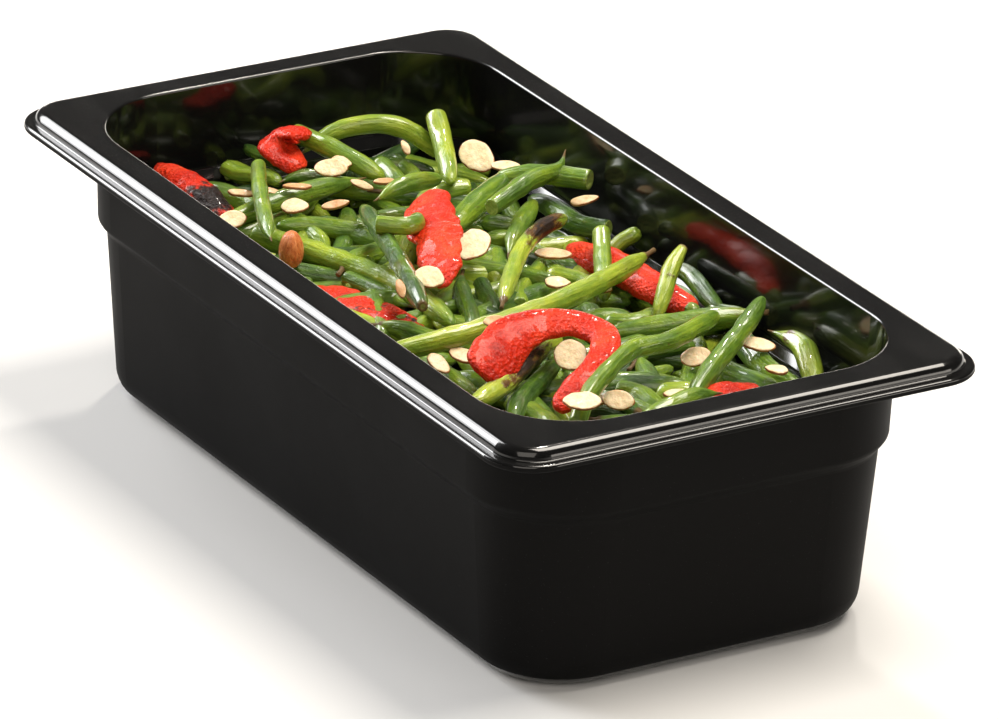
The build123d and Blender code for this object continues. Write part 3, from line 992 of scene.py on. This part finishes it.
for name, (points, widths, thickness, rolls, curl, char, ragged, nodes) in peppers.items():
    shape = Shape()
    add_strip(shape, points, widths, thickness, rolls, curl, char, ragged=ragged)
    shape.build(name, pepper_material, nodes)


# ---------------------------------------------------------------- almonds
def add_slice(shape, centre, half_long, half_wide, thickness, heading, facing, toast, rng, around=44):
    """Adds one almond slice: a thin, slightly warped disc, pointed at one end, with skin round its edge."""
    up = Vector(facing).normalized()
    ahead = Vector((cos(radians(heading)), sin(radians(heading)), 0))
    ahead = (ahead - up * ahead.dot(up)).normalized()
    side = up.cross(ahead)
    face = [(0.0, 0.5, 0), (0.4, 0.5, 0), (0.75, 0.5, 0), (0.90, 0.48, 0.1), (0.97, 0.36, 0.6), (1.0, 0.1, 1)]
    rings = face + [(share, -level, rim) for share, level, rim in reversed(face)]
    drift = rng.uniform(0, 50)
    warp = rng.uniform(-0.5, 0.5)
    points = []
    rims = []
    for share, level, rim in rings:
        for k in range(around if share else 1):
            angle = 2 * pi * k / around
            point = max(cos(angle), 0) ** 3
            wobble = 1 + 0.05 * noise.noise((cos(angle) * 1.6 + drift, sin(angle) * 1.6, 0))
            x = half_long * share * wobble * (cos(angle) + 0.10 * point)
            y = half_wide * share * wobble * sin(angle) * (1 - 0.16 * point)
            ripple = 0.25 * noise.noise((x * 0.4 + drift, y * 0.4, 0))
            z = thickness * level + warp * (x / half_long) * (y / half_wide) + ripple
            place = Vector(centre) + ahead * x + side * y + up * z
            points.append(tuple(v * MM for v in place))
            rims.append(rim)
    faces = [tuple(reversed(f)) for f in skin_faces(len(rings) - 2, around)]
    shape.add(points, faces, rim=np.array(rims), toast=np.full(len(points), toast))


# Centre, half length, half width, thickness, heading, facing and toasting.
top_slices = {
    "almond_01": ((-87, 48, 79), 6.9, 5.1, 1.3, 2, (0.45, -0.50, 0.77), 0.0),
    "almond_02": ((-20, 7, 80), 6.8, 5.5, 1.3, -60, (0.35, -0.25, 0.9), 0.0),
    "almond_03": ((74, -13, 81.5), 5.5, 5.2, 1.3, 0, (0.50, -0.45, 0.74), 0.0),
    "almond_04": ((110, -31, 83.5), 5.8, 4.2, 1.2, 60, (0.25, -0.15, 1), 0.1),
    "almond_05": ((8, -26, 85.5), 4.8, 4.2, 1.2, 30, (0.4, -0.3, 0.85), 0.1),
    "almond_06": ((-16, 35, 73), 6.0, 2.6, 1.2, 50, (0.2, -0.2, 0.95), 0.45),
    "almond_07": ((5, 24, 73), 4.0, 3.0, 1.2, 60, (0.2, -0.1, 0.95), 0.1),
    "almond_08": ((-97, -2, 80), 5.4, 3.4, 1.2, 62, (0.5, -0.3, 0.8), 0.1),
}

for name, row in top_slices.items():
    shape = Shape()
    add_slice(shape, *row, Random(name))
    shape.build(name, slice_material, [name])


nut_half_length = 6.4 * MM
nut_radius = 4.7 * MM


def whole_almond():
    """The one whole nut: a pointed egg, a little flattened, standing on its broad end."""
    centre = Vector((-49, -44, 77)) * MM
    tilt = Vector((0.10, -0.12, 1)).to_track_quat("Z", "X").to_matrix()
    rings, around = 40, 44
    points = [centre - tilt @ Vector((0, 0, nut_half_length))]
    grain = [(0, 0, 0)]
    for i in range(1, rings):
        level = -cos(pi * i / rings)
        radius = nut_radius * sin(pi * i / rings) ** 0.8 * (1 - 0.12 * level)
        for k in range(around):
            angle = 2 * pi * k / around
            furrow = 1 + 0.035 * noise.noise((3.2 * cos(angle), 3.2 * sin(angle), 1.2 * level))
            x, y = radius * furrow * cos(angle), 0.84 * radius * furrow * sin(angle)
            points.append(centre + tilt @ Vector((x, y, nut_half_length * level)))
            grain.append((nut_radius * cos(angle), nut_radius * sin(angle), nut_half_length * level))
    points.append(centre + tilt @ Vector((0, 0, nut_half_length)))
    grain.append((0, 0, nut_half_length))
    shape = Shape()
    shape.add(np.array([tuple(v) for v in points]), skin_faces(rings - 1, around), grain=np.array(grain))
    shape.build("almond_09", nut_material, ["almond_09"])


whole_almond()

# Centre, half length, half width, heading and toasting of the pieces of almond
# that lie among the beans.
loose_slices = [
    ((-107, 12, 77), 3.8, 2.8, 10, 0.4), ((-104, 6, 78), 3.4, 2.4, 50, 0.5),
    ((-82, -24, 76), 4.6, 3.6, 40, 0.1), ((-83, -47, 75), 4.6, 3.6, 70, 0.15),
    ((84, 50, 77), 5.8, 3.0, 58, 0.15), ((78, 31, 74), 4.8, 3.4, 80, 0.3),
    ((98, -10, 75), 5.0, 3.4, 50, 0.3), ((94, -14, 74), 5.0, 1.5, 75, 0.3),
    ((48, -37, 76), 4.4, 3.2, 50, 0.2), ((50, -47, 76), 4.2, 2.8, 20, 0.35),
    ((102, 46, 76), 3.6, 2.2, 40, 0.1), ((-97, -35, 77), 5.0, 1.5, 58, 0.9),
    ((-92, -27, 78), 5.0, 1.3, 54, 0.8), ((-88, -20, 80), 4.6, 1.4, 62, 0.9),
    ((-73, -14, 78), 4.6, 1.6, 80, 0.9), ((-91, 23, 85), 2.8, 1.3, -10, 0.5),
    ((-80, 0, 80), 4.0, 1.4, 30, 0.4), ((-79, 8, 80), 3.6, 1.2, 60, 0.95),
    ((9, -37, 84), 3.4, 1.6, -20, 0.95), ((57, -31, 90), 3.6, 2.0, 62, 1.0),
    ((104, 8, 76), 4.6, 1.8, 70, 0.2), ((-38, 60, 79), 4.6, 1.8, 70, 0.4),
    ((-75, 52, 79), 5.2, 2.2, 40, 0.3), ((20, 31, 76), 3.8, 2.4, 50, 0.05),
]
rng = Random(17)
shape = Shape()
for centre, half_long, half_wide, heading, toast in loose_slices:
    facing = (rng.uniform(0.1, 0.7), rng.uniform(-0.5, 0.0), 0.9)
    add_slice(shape, centre, half_long, half_wide, 1.2, heading, facing, toast, rng, 28)
shape.build("almond_pieces", slice_material)

# ---------------------------------------------------------------- pan
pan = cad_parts["pan_shell"]
pan.material_slots[0].material = pan_plastic()
